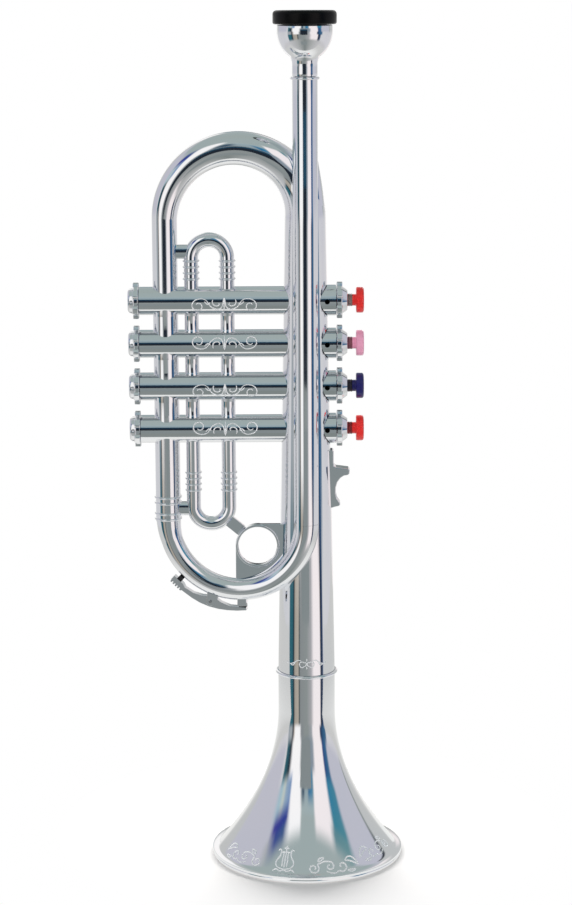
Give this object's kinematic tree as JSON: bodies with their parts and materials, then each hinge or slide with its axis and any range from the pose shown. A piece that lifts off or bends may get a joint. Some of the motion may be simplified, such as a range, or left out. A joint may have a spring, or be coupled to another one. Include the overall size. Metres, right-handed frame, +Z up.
{
  "type": "toy trumpet",
  "caption": "Toy trumpet in chrome-plated plastic with sprung coloured keys over reeds, a finger ring, a finger hook, a water key and a black lip rim; stands on its bell",
  "frame": {"origin": "on the plane that the bell's rim stands on, under the middle of the whole object's box", "axes": "+Z up along the bell's axis to the mouthpiece, +X towards the key buttons, +Y away from the leadpipe's side"},
  "size_m": [0.1344, 0.0956, 0.42],
  "materials": {
    "chrome_plate": "polished",
    "black_plastic": "satin",
    "red_plastic": "gloss",
    "pink_plastic": "gloss",
    "blue_plastic": "gloss",
    "rubber": "matte",
    "steel": "satin",
    "grey_plastic": "matte",
    "brass": "satin"
  },
  "bodies": {
    "trumpet_body": {"bell": "chrome_plate", "bell_pipe": "chrome_plate", "bell_bow": "chrome_plate", "leadpipe": "chrome_plate", "tuning_bow": "chrome_plate", "leg_link_1": "chrome_plate", "leg_link_2": "chrome_plate", "leg_link_3": "chrome_plate", "slide_link_left_1": "chrome_plate", "slide_link_left_2": "chrome_plate", "slide_link_left_3": "chrome_plate", "slide_link_right_1": "chrome_plate", "slide_link_right_2": "chrome_plate", "slide_link_right_3": "chrome_plate", "upper_slide": "chrome_plate", "lower_slide": "chrome_plate", "upper_brace": "chrome_plate", "lower_brace": "chrome_plate", "diagonal_brace": "chrome_plate", "finger_ring": "chrome_plate", "finger_hook": "chrome_plate", "mouthpiece_cup": "chrome_plate", "lip_rim": "black_plastic", "valve_casing_1": "chrome_plate", "valve_casing_2": "chrome_plate", "valve_casing_3": "chrome_plate", "valve_casing_4": "chrome_plate", "bottom_cap_1": "chrome_plate", "bottom_cap_2": "chrome_plate", "bottom_cap_3": "chrome_plate", "bottom_cap_4": "chrome_plate", "top_cap_1": "chrome_plate", "top_cap_2": "chrome_plate", "top_cap_3": "chrome_plate", "top_cap_4": "chrome_plate", "key_spring_1": "steel", "key_spring_2": "steel", "key_spring_3": "steel", "key_spring_4": "steel", "reed_holder_1": "grey_plastic", "reed_holder_2": "grey_plastic", "reed_holder_3": "grey_plastic", "reed_holder_4": "grey_plastic", "reed_1": "brass", "reed_2": "brass", "reed_3": "brass", "reed_4": "brass", "water_key_pin": "steel", "water_key_block": "rubber"},
    "first_key": {"key_1": "red_plastic", "valve_plug_1": "rubber"},
    "second_key": {"key_2": "pink_plastic", "valve_plug_2": "rubber"},
    "third_key": {"key_3": "blue_plastic", "valve_plug_3": "rubber"},
    "fourth_key": {"key_4": "red_plastic", "valve_plug_4": "rubber"},
    "water_key_lever": {"water_key": "chrome_plate", "water_key_cork": "rubber"}
  },
  "joints": [
    {"name": "first_key_press", "type": "slide", "parent": "trumpet_body", "child": "first_key", "axis": [-1, 0, 0], "range_m": [0, 0.0038], "stiffness_N_per_m": 300, "springref_m": -0.002, "deforming": ["key_spring_1"]},
    {"name": "second_key_press", "type": "slide", "parent": "trumpet_body", "child": "second_key", "axis": [-1, 0, 0], "range_m": [0, 0.0038], "stiffness_N_per_m": 300, "springref_m": -0.002, "deforming": ["key_spring_2"]},
    {"name": "third_key_press", "type": "slide", "parent": "trumpet_body", "child": "third_key", "axis": [-1, 0, 0], "range_m": [0, 0.0038], "stiffness_N_per_m": 300, "springref_m": -0.002, "deforming": ["key_spring_3"]},
    {"name": "fourth_key_press", "type": "slide", "parent": "trumpet_body", "child": "fourth_key", "axis": [-1, 0, 0], "range_m": [0, 0.0038], "stiffness_N_per_m": 300, "springref_m": -0.002, "deforming": ["key_spring_4"]},
    {"name": "water_key_pivot", "type": "hinge", "parent": "trumpet_body", "child": "water_key_lever", "pos_m": [-0.02763, -0.00356, 0.132], "axis": [0.1663, 0.9861, 0], "range_deg": [0, 4], "stiffness_Nm_per_rad": 0.15, "springref_deg": -5.73, "deforming": ["water_key_block"]}
  ]
}
